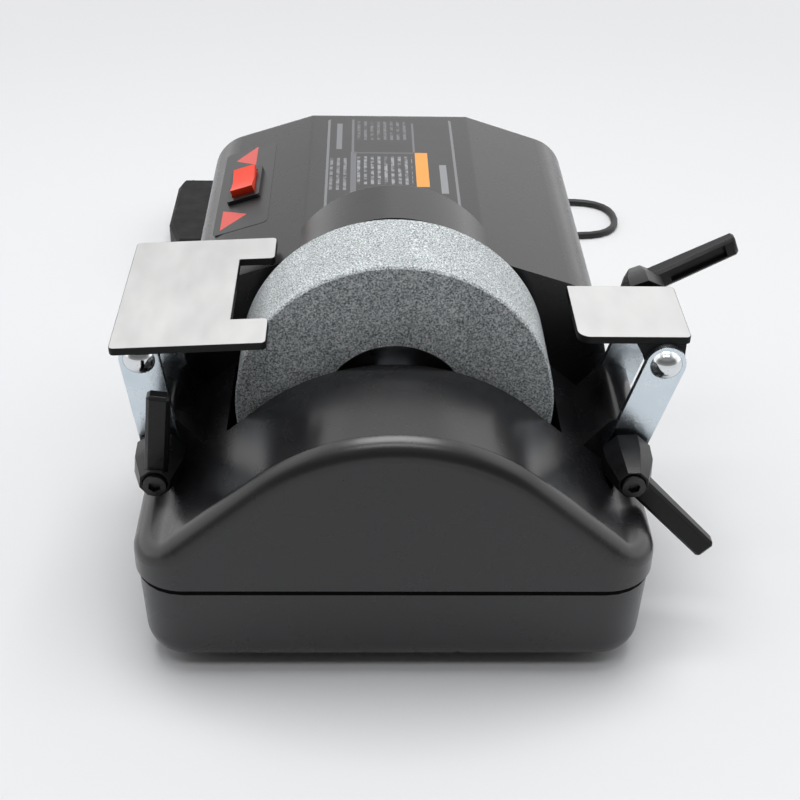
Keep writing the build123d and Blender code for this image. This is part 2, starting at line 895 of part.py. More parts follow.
with BuildPart() as gear_plate_front:
    add(gear_plate(plate_front_y))
    with BuildSketch(cross(plate_front_y)):
        with Locations(*spacer_places):
            Circle(long_head_dia / 2 + pivot_fit)
    extrude(amount=-long_head, mode=Mode.SUBTRACT)
gear_plate_front.part.label = "gear_plate_front"
export_step(gear_plate_front.part, "parts/gear_plate_front.step")

motor_screw_places = ((motor_x, motor_z - motor_screw_r), (motor_x + motor_screw_r, motor_z))
with BuildPart() as gear_plate_rear:
    add(gear_plate(plate_back_y))
    with BuildSketch(cross(plate_back_y)):
        with Locations((motor_x, motor_z)):
            Circle(rotor_shaft_dia)
        with Locations(*motor_screw_places):
            Circle(screw_r + fit)
    extrude(amount=-bearing_width, mode=Mode.SUBTRACT)
    with BuildSketch(cross(plate_back_y)):
        with Locations(*motor_screw_places):
            Circle(screw_head_dia / 2 + pivot_fit)
    extrude(amount=-screw_head, mode=Mode.SUBTRACT)
gear_plate_rear.part.label = "gear_plate_rear"
export_step(gear_plate_rear.part, "parts/gear_plate_rear.step")

with BuildPart() as plate_spacers:
    with BuildSketch(cross(plate_inner_y)):
        with Locations(*spacer_places):
            Circle(spacer_dia / 2)
            Circle(long_screw_dia / 2 + fit, mode=Mode.SUBTRACT)
    extrude(amount=-plate_space)
plate_spacers.part.label = "plate_spacers"
export_step(plate_spacers.part, "parts/plate_spacers.step")

with BuildPart() as plate_screws:
    with BuildSketch(cross(plate_front_y)):
        with Locations(*spacer_places):
            Circle(long_head_dia / 2)
    extrude(amount=-long_head)
    with BuildSketch(cross(plate_front_y + long_head)):
        with Locations(*spacer_places):
            Circle(long_screw_dia / 2)
    extrude(amount=plate_front_y + long_head - plate_end_y)
plate_screws.part.label = "plate_screws"
export_step(plate_screws.part, "parts/plate_screws.step")

# Motor
motor_end_y = plate_end_y + motor_length
with BuildPart() as motor_can:
    with BuildSketch(back(motor_x, plate_end_y, motor_z)):
        Circle(motor_dia / 2)
    extrude(amount=motor_length)
    with BuildSketch(back(motor_x, plate_end_y + motor_face, motor_z)):
        Circle(motor_bore / 2)
    extrude(amount=motor_length, mode=Mode.SUBTRACT)
    with BuildSketch(back(motor_x, plate_end_y, motor_z)):
        Circle(rotor_shaft_dia / 2 + fit)
    extrude(amount=motor_face, mode=Mode.SUBTRACT)
    with BuildSketch(cross(plate_end_y)):
        with Locations(*motor_screw_places):
            Circle(screw_r + fit)
    extrude(amount=-motor_face, mode=Mode.SUBTRACT)
motor_can.part.label = "motor_can"
export_step(motor_can.part, "parts/motor_can.step")

with BuildPart() as motor_screws:
    with BuildSketch(cross(plate_back_y)):
        with Locations(*motor_screw_places):
            Circle(screw_head_dia / 2)
    extrude(amount=-screw_head)
    with BuildSketch(cross(plate_back_y + screw_head)):
        with Locations(*motor_screw_places):
            Circle(screw_r)
    extrude(amount=plate_back_y + screw_head - plate_end_y - motor_face)
motor_screws.part.label = "motor_screws"
export_step(motor_screws.part, "parts/motor_screws.step")

with BuildPart() as motor_cap:
    with BuildSketch(back(motor_x, motor_end_y - cap_spigot, motor_z)):
        Circle(motor_bore / 2 - fit)
    extrude(amount=cap_spigot)
    with BuildSketch(back(motor_x, motor_end_y, motor_z)):
        Circle(motor_dia / 2)
    extrude(amount=cap_length)
    fillet(faces().sort_by(Axis.Y)[-1].edges(), cap_spigot)
    with BuildSketch(back(motor_x, motor_end_y - cap_spigot, motor_z)):
        Circle(rotor_shaft_dia / 2 + fit)
    extrude(amount=cap_spigot + shaft_tail + fit, mode=Mode.SUBTRACT)
motor_cap.part.label = "motor_cap"
export_step(motor_cap.part, "parts/motor_cap.step")

with BuildPart() as rotor:
    with BuildSketch(back(motor_x, pinion_y, motor_z)):
        Circle(rotor_shaft_dia / 2)
    extrude(amount=motor_end_y + shaft_tail - pinion_y)
    with BuildSketch(back(motor_x, plate_end_y + armature_start, motor_z)):
        Circle(armature_dia / 2)
    extrude(amount=armature_length)
rotor.part.label = "rotor"
export_step(rotor.part, "parts/rotor.step")


def bolt(x, z, seat, outwards, height, end):
    """Dome-headed pivot bolt along Y, its head standing outwards from the seat."""
    dome_r = dome_dia / 2
    ball_r = (dome_r**2 + height**2) / (2 * height)
    half_turn = asin(dome_r / ball_r) / 2
    top = seat + outwards * height
    halfway = (ball_r * sin(half_turn), top - outwards * ball_r * (1 - cos(half_turn)))
    with BuildPart() as shape:
        with BuildSketch(Plane(origin=(x, 0, z), x_dir=(1, 0, 0), z_dir=(0, 0, 1))):
            with BuildLine():
                Polyline((0, top), (0, end), (bolt_r, end), (bolt_r, seat), (dome_r, seat))
                ThreePointArc((dome_r, seat), halfway, (0, top))
            make_face()
        revolve(axis=Axis((x, 0, z), (0, 1, 0)))
    return shape.part


def link(x, z, lean, y, amount):
    """Flat swing link with round ends, its lower hole on the pivot at x, z."""
    reach = (sin(radians(lean)), 0, cos(radians(lean)))
    middle = (x + reach[0] * link_length / 2, y, z + reach[2] * link_length / 2)
    with BuildPart() as bar:
        with BuildSketch(Plane(origin=middle, x_dir=reach, z_dir=(0, -1, 0))):
            SlotCenterToCenter(link_length, link_width)
            with Locations((-link_length / 2, 0), (link_length / 2, 0)):
                Circle(pivot_hole_r, mode=Mode.SUBTRACT)
        extrude(amount=amount)
    return bar.part


def lever(origin, outwards, arm_angle, name):
    """Indexing clamp lever: insert, sprung handle, spring and retaining screw."""
    reach = Vector(cos(radians(arm_angle)), 0, sin(radians(arm_angle)))
    out = Vector(0, outwards, 0)
    seat = Plane(origin=origin, x_dir=reach, z_dir=out)
    side = Plane(origin=origin, x_dir=reach, z_dir=reach.cross(out))
    with BuildPart() as insert:
        with BuildSketch(seat):
            Circle(insert_flange_dia / 2)
        extrude(amount=insert_flange)
        with BuildSketch(seat.offset(insert_flange)):
            RegularPolygon(serration_size / 2, hub_sides, major_radius=False)
        extrude(amount=serration_end - insert_flange)
        with BuildSketch(seat.offset(serration_end)):
            Circle(insert_dia / 2)
        extrude(amount=insert_end - serration_end)
        with BuildSketch(seat.offset(insert_end)):
            Circle(neck_dia / 2)
        extrude(amount=neck_end - insert_end)
        with BuildSketch(seat):
            Circle(bolt_r + pivot_fit)
        extrude(amount=insert_bore_end, mode=Mode.SUBTRACT)
        with BuildSketch(seat.offset(neck_end)):
            Circle(cap_screw_shank / 2 + fit)
        extrude(amount=-cap_screw_depth - fit, mode=Mode.SUBTRACT)
    insert.part.label = f"{name}_insert"
    export_step(insert.part, f"parts/{name}_insert.step")
    with BuildPart() as handle:
        with BuildSketch(side):
            with BuildLine():
                Polyline(
                    (0, arm_root - arm_root_thick / 2),
                    (arm_reach, arm_tip - arm_tip_thick / 2),
                    (arm_reach, arm_tip + arm_tip_thick / 2),
                    (0, arm_root + arm_root_thick / 2),
                    close=True,
                )
            make_face()
        extrude(amount=arm_width / 2, both=True)
        root = edges().filter_by(lambda e: abs((e.center() - seat.origin).dot(reach)) < tiny)
        chamfer(edges() - root, arm_edge)
        for reach_out, size in ((hub_start, hub_r), (hub_shoulder, hub_shoulder_r), (hub_end, hub_end_r)):
            with BuildSketch(seat.offset(reach_out)):
                RegularPolygon(size, hub_sides, rotation=180 / hub_sides)
        loft(ruled=True)
        with BuildSketch(side):
            with BuildLine():
                rise = (arm_tip - arm_root) / arm_reach
                thin = (arm_root_thick - arm_tip_thick) / (2 * arm_reach)
                low = arm_root - arm_root_thick / 2 - channel_depth
                slope = rise + thin
                Polyline(
                    (channel_start, low + channel_start * slope),
                    (channel_end, low + channel_end * slope),
                    (channel_end, low + channel_end * slope + 2 * channel_depth),
                    (channel_start, low + channel_start * slope + 2 * channel_depth),
                    close=True,
                )
            make_face()
        extrude(amount=channel_width / 2, both=True, mode=Mode.SUBTRACT)
        with BuildSketch(seat.offset(hub_start)):
            RegularPolygon(serration_size / 2 + serration_fit, hub_sides, major_radius=False)
        extrude(amount=web_start - hub_start, mode=Mode.SUBTRACT)
        with BuildSketch(seat.offset(web_start)):
            Circle(neck_dia / 2 + web_gap)
        extrude(amount=web_end - web_start, mode=Mode.SUBTRACT)
        with BuildSketch(seat.offset(web_end)):
            Circle(counterbore_dia / 2)
        extrude(amount=hub_end, mode=Mode.SUBTRACT)
    handle.part.label = f"{name}_handle"
    export_step(handle.part, f"parts/{name}_handle.step")
    with BuildPart() as spring:
        with BuildSketch(seat.offset(web_end)):
            Circle(spring_dia / 2)
            Circle(spring_bore / 2, mode=Mode.SUBTRACT)
        extrude(amount=neck_end - web_end)
    spring.part.label = f"{name}_spring"
    export_step(spring.part, f"parts/{name}_spring.step")
    with BuildPart() as screw:
        with BuildSketch(seat.offset(neck_end - cap_screw_depth)):
            Circle(cap_screw_shank / 2)
        extrude(amount=cap_screw_depth)
        with BuildSketch(seat.offset(neck_end)):
            Circle(cap_screw_dia / 2)
        extrude(amount=cap_screw_head)
        with BuildSketch(seat.offset(neck_end + cap_screw_head)):
            RegularPolygon(socket_size, hex_sides)
        extrude(amount=-socket_depth, mode=Mode.SUBTRACT)
    screw.part.label = f"{name}_screw"
    export_step(screw.part, f"parts/{name}_screw.step")


upper_pivots = {}
for name, hand, lean, lower_arm, upper_arm in (
    ("right", 1, right_lean, right_lower_arm, right_upper_arm),
    ("left", -1, left_lean, left_lower_arm, left_upper_arm),
):
    upper_x = hand * pivot_x + link_length * sin(radians(lean))
    upper_z = pivot_z + link_length * cos(radians(lean))
    upper_pivots[name] = (upper_x, upper_z)
    for end, y, amount in (("front", front_link_y, link_thick), ("rear", rear_link_y, -link_thick)):
        bar = link(hand * pivot_x, pivot_z, lean, y, amount)
        bar.label = f"{name}_link_{end}"
        export_step(bar, f"parts/{name}_link_{end}.step")
    lower_bolt = bolt(hand * pivot_x, pivot_z, rear_face_y, 1, lower_dome, front_face_y - bolt_end)
    lower_bolt.label = f"{name}_lower_bolt"
    export_step(lower_bolt, f"parts/{name}_lower_bolt.step")
    upper_bolt = bolt(upper_x, upper_z, front_face_y, -1, upper_dome, rear_face_y + bolt_end)
    upper_bolt.label = f"{name}_upper_bolt"
    export_step(upper_bolt, f"parts/{name}_upper_bolt.step")
    lever((hand * pivot_x, front_face_y, pivot_z), -1, lower_arm, f"{name}_lower")
    lever((upper_x, rear_face_y, upper_z), 1, upper_arm, f"{name}_upper")


def lug(name, tilt, top, gusset):
    """Block under a rest that turns between the links."""
    x, z = upper_pivots[name]
    lean = (cos(radians(tilt)), 0, sin(radians(tilt)))
    with BuildPart() as block:
        with BuildSketch(Plane(origin=(x, lug_front_y, z), x_dir=lean, z_dir=(0, -1, 0))):
            Circle(lug_r)
            with BuildLine():
                Polyline(
                    (lug_r, 0),
                    (lug_r, top - plate_thick),
                    (-lug_r - gusset, top - plate_thick),
                    (-lug_r, 0),
                    close=True,
                )
            make_face()
            Circle(pivot_hole_r, mode=Mode.SUBTRACT)
        extrude(amount=-wheel_width)
    return block.part


right_rest_lug = lug("right", 0, right_top, right_gusset)
right_rest_lug.label = "right_rest_lug"
export_step(right_rest_lug, "parts/right_rest_lug.step")
left_rest_lug = lug("left", left_tilt, left_top, 0)
left_rest_lug.label = "left_rest_lug"
export_step(left_rest_lug, "parts/left_rest_lug.step")

right_x, right_z = upper_pivots["right"]
with BuildPart() as right_rest:
    with BuildSketch(Plane.XY.offset(right_z + right_top - plate_thick)):
        with Locations((right_x + (right_out - right_in) / 2, wheel_mid_y)):
            Rectangle(right_in + right_out, wheel_width)
        fillet(vertices().group_by(Axis.X)[0].sort_by(Axis.Y)[0], right_corner_r)
        fillet(vertices().group_by(Axis.X)[0].sort_by(Axis.Y)[-1], right_sharp_r)
        fillet(vertices().group_by(Axis.X)[-1], plate_corner_r)
    extrude(amount=plate_thick)
right_rest.part.label = "right_rest"
export_step(right_rest.part, "parts/right_rest.step")

left_x, left_z = upper_pivots["left"]
tilt = radians(left_tilt)
with BuildPart() as left_rest:
    with BuildSketch(
        Plane(
            origin=(
                left_x - (left_top - plate_thick) * sin(tilt),
                wheel_mid_y,
                left_z + (left_top - plate_thick) * cos(tilt),
            ),
            x_dir=(cos(tilt), 0, sin(tilt)),
            z_dir=(-sin(tilt), 0, cos(tilt)),
        )
    ):
        with Locations(((left_in - left_out) / 2, 0)):
            Rectangle(left_in + left_out, left_length)
        with Locations((left_in - notch_depth / 2, 0)):
            Rectangle(notch_depth, notch_length, mode=Mode.SUBTRACT)
        fillet(vertices().group_by(Axis.X)[0], plate_corner_r)
        fillet(vertices().group_by(Axis.X)[-1], plate_corner_r)
    extrude(amount=plate_thick)
left_rest.part.label = "left_rest"
export_step(left_rest.part, "parts/left_rest.step")


def bend_radii(points):
    """Arc radius at each inner point of a lead, from the shorter run beside it and the turn."""
    radii = []
    for before, here, after in zip(points, points[1:], points[2:]):
        into = Vector(*here) - Vector(*before)
        onward = Vector(*after) - Vector(*here)
        turn = radians(into.get_angle(onward))
        radii.append(bend_share * min(into.length, onward.length) / tan(turn / 2))
    return radii


# Supply lead: from the sleeve to the coil, and from the coil to the plug
with BuildPart() as lead:
    for points in (lead_points, tail_points):
        with BuildLine() as route:
            FilletPolyline(*points, radius=bend_radii(points))
        path = route.wire()
        with BuildSketch(Plane(origin=path @ 0, z_dir=path % 0)):
            Circle(lead_dia / 2)
        sweep(path=path)
        print("lead run", round(path.length), "tightest bend", round(min(bend_radii(points)), 1))
lead.part.label = "lead"
export_step(lead.part, "parts/lead.step")

sleeve_rate = (sleeve_root_dia - sleeve_tip_dia) / (2 * sleeve_length)
with BuildPart() as strain_relief:
    with BuildSketch(back(inlet_x, inlet_pad_y, inlet_z)):
        Circle(sleeve_flange_dia / 2)
    extrude(amount=sleeve_flange)
    with BuildSketch(back(inlet_x, inlet_pad_y + sleeve_flange, inlet_z)):
        Circle(sleeve_root_dia / 2)
    extrude(amount=sleeve_length, taper=degrees(atan2(sleeve_rate, 1)))
    with BuildSketch(back(inlet_x, inlet_pad_y, inlet_z)):
        Circle(inlet_bore / 2 - fit)
    extrude(amount=-sleeve_inside)
    with BuildSketch(back(inlet_x, inlet_pad_y - sleeve_inside, inlet_z)):
        Circle(lead_dia / 2)
    extrude(amount=sleeve_inside + sleeve_flange + sleeve_length, mode=Mode.SUBTRACT)
strain_relief.part.label = "strain_relief"
export_step(strain_relief.part, "parts/strain_relief.step")

with BuildPart() as lead_coil:
    with BuildSketch(Plane(origin=(coil_x, coil_y, tie_thick))):
        Circle(coil_mid_r + coil_width / 2)
        Circle(coil_mid_r - coil_width / 2, mode=Mode.SUBTRACT)
    extrude(amount=coil_height)
    fillet(edges().filter_by(GeomType.CIRCLE), coil_round)
lead_coil.part.label = "lead_coil"
export_step(lead_coil.part, "parts/lead_coil.step")

with BuildPart() as coil_tie:
    with BuildSketch(Plane(origin=(coil_x, coil_y + coil_mid_r, 0))):
        Rectangle(tie_width, coil_width + 2 * tie_thick)
    extrude(amount=coil_height + 2 * tie_thick)
    with BuildSketch(Plane(origin=(coil_x, coil_y, tie_thick))):
        Circle(coil_mid_r + coil_width / 2)
        Circle(coil_mid_r - coil_width / 2, mode=Mode.SUBTRACT)
    extrude(amount=coil_height, mode=Mode.SUBTRACT)
coil_tie.part.label = "coil_tie"
export_step(coil_tie.part, "parts/coil_tie.step")

plug_rear_y = plug_front_y + plug_length
with BuildPart() as plug:
    with BuildSketch(Plane.XY):
        with BuildLine():
            Polyline(
                (plug_x - plug_front_width / 2, plug_front_y),
                (plug_x + plug_front_width / 2, plug_front_y),
                (plug_x + plug_width / 2, plug_front_y + plug_front_taper),
                (plug_x + plug_width / 2, plug_rear_y - plug_rear_taper),
                (plug_x + plug_rear_width / 2, plug_rear_y),
                (plug_x - plug_rear_width / 2, plug_rear_y),
                (plug_x - plug_width / 2, plug_rear_y - plug_rear_taper),
                (plug_x - plug_width / 2, plug_front_y + plug_front_taper),
                close=True,
            )
        make_face()
    extrude(amount=2 * plug_z)
    chamfer(faces().sort_by(Axis.Z)[-1].edges(), plug_edge)
    with BuildSketch(back(plug_x, plug_front_y, plug_z)):
        Circle(plug_neck_dia / 2)
    extrude(amount=-plug_neck)
    with BuildSketch(back(plug_x, plug_rear_y, plug_z)):
        with Locations((-pin_spacing / 2, 0), (pin_spacing / 2, 0)):
            Circle(pin_dia / 2)
    extrude(amount=pin_length)
plug.part.label = "plug"
export_step(plug.part, "parts/plug.step")
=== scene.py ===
import bpy
import json
import math
from mathutils import Matrix, Vector

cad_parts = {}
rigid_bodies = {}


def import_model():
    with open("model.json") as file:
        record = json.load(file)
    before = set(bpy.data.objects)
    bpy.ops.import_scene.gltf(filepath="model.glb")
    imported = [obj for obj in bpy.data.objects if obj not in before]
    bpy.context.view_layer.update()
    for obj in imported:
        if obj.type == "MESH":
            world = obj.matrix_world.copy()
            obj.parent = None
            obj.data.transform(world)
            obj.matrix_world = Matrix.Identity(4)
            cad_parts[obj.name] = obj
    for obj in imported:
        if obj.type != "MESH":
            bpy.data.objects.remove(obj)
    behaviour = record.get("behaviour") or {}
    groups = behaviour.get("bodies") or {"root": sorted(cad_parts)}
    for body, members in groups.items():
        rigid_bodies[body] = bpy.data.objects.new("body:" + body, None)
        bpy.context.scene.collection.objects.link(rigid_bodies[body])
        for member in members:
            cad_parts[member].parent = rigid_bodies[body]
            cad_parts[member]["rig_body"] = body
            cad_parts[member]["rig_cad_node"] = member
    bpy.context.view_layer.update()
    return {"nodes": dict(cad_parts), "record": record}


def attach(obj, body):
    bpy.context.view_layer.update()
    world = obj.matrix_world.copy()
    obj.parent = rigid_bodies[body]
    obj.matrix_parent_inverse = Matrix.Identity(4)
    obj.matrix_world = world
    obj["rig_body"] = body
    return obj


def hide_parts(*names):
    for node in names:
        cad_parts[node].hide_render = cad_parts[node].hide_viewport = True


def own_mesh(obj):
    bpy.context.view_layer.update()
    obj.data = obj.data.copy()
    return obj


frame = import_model()
nodes = frame["nodes"]
scene = bpy.context.scene
mm = 0.001


def deselectAll():
    if bpy.context.object and bpy.context.object.mode != "OBJECT":
        bpy.ops.object.mode_set(mode="OBJECT")
    bpy.ops.object.select_all(action="DESELECT")


def pick(obj):
    deselectAll()
    obj.select_set(True)
    bpy.context.view_layer.objects.active = obj


def smoothStep(share):
    share = min(max(share, 0), 1)
    return share * share * (3 - 2 * share)


# Camera, looking down on the wheel end
cameraSet = {"place": (-0.013096, -0.533665, 0.403030), "turn": -1.8645, "tip": 56.28, "roll": 1.2805,
             "lens": 64.107, "sensor": 36}
deselectAll()
bpy.ops.object.camera_add()
camera = bpy.context.object
turned = Matrix.Rotation(math.radians(cameraSet["turn"]), 4, "Z")
tipped = Matrix.Rotation(math.radians(cameraSet["tip"]), 4, "X")
rolled = Matrix.Rotation(math.radians(cameraSet["roll"]), 4, "Z")
camera.matrix_world = Matrix.Translation(cameraSet["place"]) @ turned @ tipped @ rolled
camera.data.lens = cameraSet["lens"]
camera.data.sensor_width = cameraSet["sensor"]
camera.data.dof.use_dof = False
scene.camera = camera
print("camera set")

# Supply lead: out of the sleeve, one loop on the table to the right, then the tied coil behind the housing
leadSet = {
    "dia": 4.2,
    "run": [(35, 122.5, 27), (35, 172, 27), (39, 217, 11), (56, 244, 2.1), (97, 250, 2.1), (145, 251, 2.1),
            (146, 296, 2.1), (98, 298, 2.1), (52, 286, 2.1), (18, 256, 2.1), (5, 220, 2.1), (-2.35, 194, 2.4)],
    "tail": [(-58, 147, 8), (-87, 149.5, 2.6), (-108, 167, 5.5), (-111, 184, 11.6), (-111, 194, 12),
             (-111, 222, 12)],  # ends inside the plug
    "coilPlace": (-30, 175),
    "columns": (27.65, 23.25, 18.85),
    "levels": (3.05, 7.35, 11.65),
    "turnOrder": [(0, 0), (1, 0), (2, 0), (2, 1), (1, 1), (0, 1), (0, 2), (0, 2)],  # column and level of each turn
    "turns": 7.25,
    "pointsPerTurn": 24,
    "moveOver": (0.7, 0.3),  # start and share of a turn in which it moves over to the next column
    "climb": (0.58, 0.24),  # and in which it climbs
    "exit": (0.035, 0.1292, 0.027),
    "length": 1.7,
}


def coilPoint(step):
    perTurn = leadSet["pointsPerTurn"]
    turn, part = divmod(step, perTurn)
    order = leadSet["turnOrder"]
    column, level = order[turn]
    nextColumn, nextLevel = order[min(turn + 1, len(order) - 1)]
    across, up = (smoothStep((part / perTurn - start) / length) for start, length in (leadSet["moveOver"], leadSet["climb"]))
    radius = leadSet["columns"][column] * (1 - across) + leadSet["columns"][nextColumn] * across
    radius = radius / math.cos(math.pi / perTurn)  # the curve runs inside its control points
    height = leadSet["levels"][level] * (1 - up) + leadSet["levels"][nextLevel] * up
    angle = -2 * math.pi * step / perTurn
    x, y = leadSet["coilPlace"]
    return (x + radius * math.cos(angle), y + radius * math.sin(angle), height)


coilSteps = int(leadSet["pointsPerTurn"] * leadSet["turns"])
leadPoints = leadSet["run"] + [coilPoint(step) for step in range(coilSteps + 1)] + leadSet["tail"]
deselectAll()
leadCurve = bpy.data.curves.new("supplyLead", "CURVE")
leadCurve.dimensions = "3D"
leadSpline = leadCurve.splines.new("NURBS")
leadSpline.points.add(len(leadPoints) - 1)
for point, place in zip(leadSpline.points, leadPoints):
    point.co = (place[0] * mm, place[1] * mm, place[2] * mm, 1)
    point.radius = leadSet["dia"] / 2 * mm  # the sheath's radius stands here, so that the curve's box is true
leadSpline.order_u = 3
leadSpline.use_endpoint_u = True
leadCurve.resolution_u = 6
leadCurve.bevel_depth = 1
leadCurve.bevel_resolution = 4
leadCurve.use_fill_caps = True
supplyLead = bpy.data.objects.new("supplyLead", leadCurve)
scene.collection.objects.link(supplyLead)
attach(supplyLead, "base")
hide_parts("lead", "lead_coil")
print("lead laid")


# Materials
def linear(code):
    channels = [int(code[i:i + 2], 16) / 255 for i in (1, 3, 5)]
    return tuple(c / 12.92 if c <= 0.04045 else ((c + 0.055) / 1.055) ** 2.4 for c in channels) + (1,)


def addNode(tree, kind, inputs=None, **settings):
    node = tree.nodes.new(kind)
    for key, value in settings.items():
        setattr(node, key, value)
    for key, value in (inputs or {}).items():
        if isinstance(value, bpy.types.NodeSocket):
            tree.links.new(value, node.inputs[key])
        else:
            node.inputs[key].default_value = value
    return node


def startMaterial(name, **sockets):
    material = bpy.data.materials.new(name)
    material.use_nodes = True
    tree = material.node_tree
    shader = tree.nodes["Principled BSDF"]
    for key, value in sockets.items():
        shader.inputs[key.replace("_", " ")].default_value = value
    place = addNode(tree, "ShaderNodeTexCoord").outputs["Object"]
    return material, tree, shader, place


# Colour between two tones and roughness between two values from one noise, with a fine bump from another
def grainedMaterial(name, tones, rough, patchMm, grainMm, bump, stretch=(1, 1, 1), **sockets):
    material, tree, shader, place = startMaterial(name, **sockets)
    stretched = addNode(tree, "ShaderNodeMapping", {"Vector": place, "Scale": stretch}).outputs["Vector"]
    patch = addNode(tree, "ShaderNodeTexNoise", {"Vector": stretched, "Scale": 1 / (patchMm * mm), "Detail": 4})
    tone = addNode(tree, "ShaderNodeMix", {0: patch.outputs["Fac"], 6: linear(tones[0]), 7: linear(tones[1])},
                   data_type="RGBA")
    gloss = addNode(tree, "ShaderNodeMapRange", {"Value": patch.outputs["Fac"], "From Min": 0.3, "From Max": 0.7,
                                                 "To Min": rough[0], "To Max": rough[1]})
    grain = addNode(tree, "ShaderNodeTexNoise", {"Vector": stretched, "Scale": 1 / (grainMm * mm), "Detail": 3})
    raised = addNode(tree, "ShaderNodeBump", {"Height": grain.outputs["Fac"], "Strength": bump, "Distance": 0.2 * mm})
    tree.links.new(tone.outputs[2], shader.inputs["Base Color"])
    tree.links.new(gloss.outputs["Result"], shader.inputs["Roughness"])
    tree.links.new(raised.outputs["Normal"], shader.inputs["Normal"])
    return material


# Black ABS moulded in a fine spark-eroded tool: deep black with soft, slightly uneven sheen
# The real grain is about 0.2 mm and is drawn at 0.9 mm so that it shows
mouldedAbs = grainedMaterial("mouldedAbs", ("#161618", "#1b1b1d"), (0.24, 0.3), 22, 0.9, 0.06, IOR=1.53)
# Soft black rubber: matt and a little greyer where it was handled
blackRubber = grainedMaterial("blackRubber", ("#0c0c0d", "#121213"), (0.5, 0.68), 9, 0.8, 0.12, IOR=1.27)
# Near-black matt rubber in the seam: painted shade, a dark strip that stands in for the shadow in the gap between the
# housings
sealRubber = grainedMaterial("sealRubber", ("#040404", "#080808"), (0.8, 0.95), 6, 0.8, 0.1, IOR=1.15)
# Black PVC sheath of the lead: smooth and slightly glossy
leadSheath = grainedMaterial("leadSheath", ("#121213", "#19191a"), (0.4, 0.5), 14, 0.7, 0.04, IOR=1.45)
# Grey-black ABS of the trough: plain moulded, a little dull from water
troughAbs = grainedMaterial("troughAbs", ("#202123", "#2b2c2d"), (0.45, 0.62), 12, 0.9, 0.06, IOR=1.53)
# Black nylon of the switch frame: smooth and shinier than the housing
switchNylon = grainedMaterial("switchNylon", ("#111112", "#18181a"), (0.28, 0.36), 10, 0.6, 0.03, IOR=1.53)
# Red polycarbonate of the rocker: clear bright red with a soft gloss
rockerRed = grainedMaterial("rockerPolycarbonate", ("#e03416", "#ea421f"), (0.34, 0.44), 8, 0.7, 0.03, IOR=1.42)
# Die-cast zinc levers with a textured black coat: dark grey-black with a dull gleam on the edges
leverCoat = grainedMaterial("leverCoat", ("#0b0b0c", "#121214"), (0.26, 0.4), 7, 0.8, 0.16, IOR=1.33)
# Steel with black powder coat: even and slightly rippled
powderCoat = grainedMaterial("powderCoat", ("#0b0b0c", "#111112"), (0.42, 0.55), 8, 1.0, 0.1, IOR=1.3)
# Black oxide on steel: dark metal with brown-grey shine
blackOxide = grainedMaterial("blackOxide", ("#3a3a3c", "#4a4947"), (0.3, 0.45), 4, 0.7, 0.06, Metallic=1)
# Turned steel: grey metal with fine marks
turnedSteel = grainedMaterial("turnedSteel", ("#a9aaab", "#bcbdbd"), (0.26, 0.4), 5, 0.6, 0.08, Metallic=1)
# Machined brass of the gears
gearBrass = grainedMaterial("gearBrass", ("#b8974f", "#c9a961"), (0.25, 0.38), 5, 0.6, 0.05, Metallic=1)
# Milled aluminium of the gear plates
milledAluminium = grainedMaterial("milledAluminium", ("#b9bbbe", "#cacccd"), (0.32, 0.45), 6, 0.7, 0.06, Metallic=1)
# Black stove enamel of the motor
motorEnamel = grainedMaterial("motorEnamel", ("#1d1d20", "#262629"), (0.3, 0.42), 10, 0.9, 0.05, IOR=1.5)
# Lacquered copper and core of the armature
lacqueredCopper = grainedMaterial("lacqueredCopper", ("#9c5a34", "#b3704a"), (0.3, 0.45), 4, 0.8, 0.08, Metallic=1)
# Bright zinc plate: cool silver with faint cloudy patches
zincPlate = grainedMaterial("zincPlate", ("#bfccd6", "#e2e9ed"), (0.18, 0.32), 7, 1.2, 0.04, Metallic=1)
# Polished and plated domes of the pivot bolts: bright, with a clear picture of what stands round them
polishedDome = grainedMaterial("polishedDome", ("#d5d8da", "#e3e6e8"), (0.07, 0.13), 6, 1.0, 0.02, Metallic=1)
# Ground steel with a dull silky sheen: neutral grey with faint marks along the plate
groundSteel = grainedMaterial("groundSteel", ("#bababa", "#c8c8c7"), (0.36, 0.44), 9, 0.9, 0.05, stretch=(1, 0.4, 1),
                              Metallic=1)

# Vitrified silicon carbide: pale grey-green grit with darker pores
# Real grit is about 0.2 mm and is drawn at 0.6 mm so that it shows
# The faces are drawn a fifth darker than the rim: partly painted shade on the faces, which turn away from the light
# above, and partly a dressed rim that is paler than the moulded faces
wheelSet = {"gritMm": 0.6, "cloudMm": 12, "tones": ("#484e50", "#aab1b3", "#f0f3f4"), "axisZ": 90, "rim": (61.6, 62.3),
            "faceShade": 0.8}
gritStone, stoneTree, stoneShader, stonePlace = startMaterial("gritStone", Roughness=0.9, IOR=1.5)
grit = addNode(stoneTree, "ShaderNodeTexNoise", {"Vector": stonePlace, "Scale": 1 / (wheelSet["gritMm"] * mm),
                                                 "Detail": 2, "Roughness": 0.6})
gritTone = addNode(stoneTree, "ShaderNodeValToRGB", {"Fac": grit.outputs["Fac"]})
gritTone.color_ramp.elements[0].position = 0.3
gritTone.color_ramp.elements[0].color = linear(wheelSet["tones"][0])
gritTone.color_ramp.elements[1].position = 0.66
gritTone.color_ramp.elements[1].color = linear(wheelSet["tones"][2])
gritTone.color_ramp.elements.new(0.48).color = linear(wheelSet["tones"][1])
cloud = addNode(stoneTree, "ShaderNodeTexNoise", {"Vector": stonePlace, "Scale": 1 / (wheelSet["cloudMm"] * mm)})
cloudShade = addNode(stoneTree, "ShaderNodeMapRange", {"Value": cloud.outputs["Fac"], "From Min": 0.3, "From Max": 0.7,
                                                       "To Min": 0.9, "To Max": 1.06})
outward = addNode(stoneTree, "ShaderNodeMapping", {"Vector": stonePlace, "Location": (0, 0, -wheelSet["axisZ"] * mm),
                                                   "Scale": (1, 0, 1)})
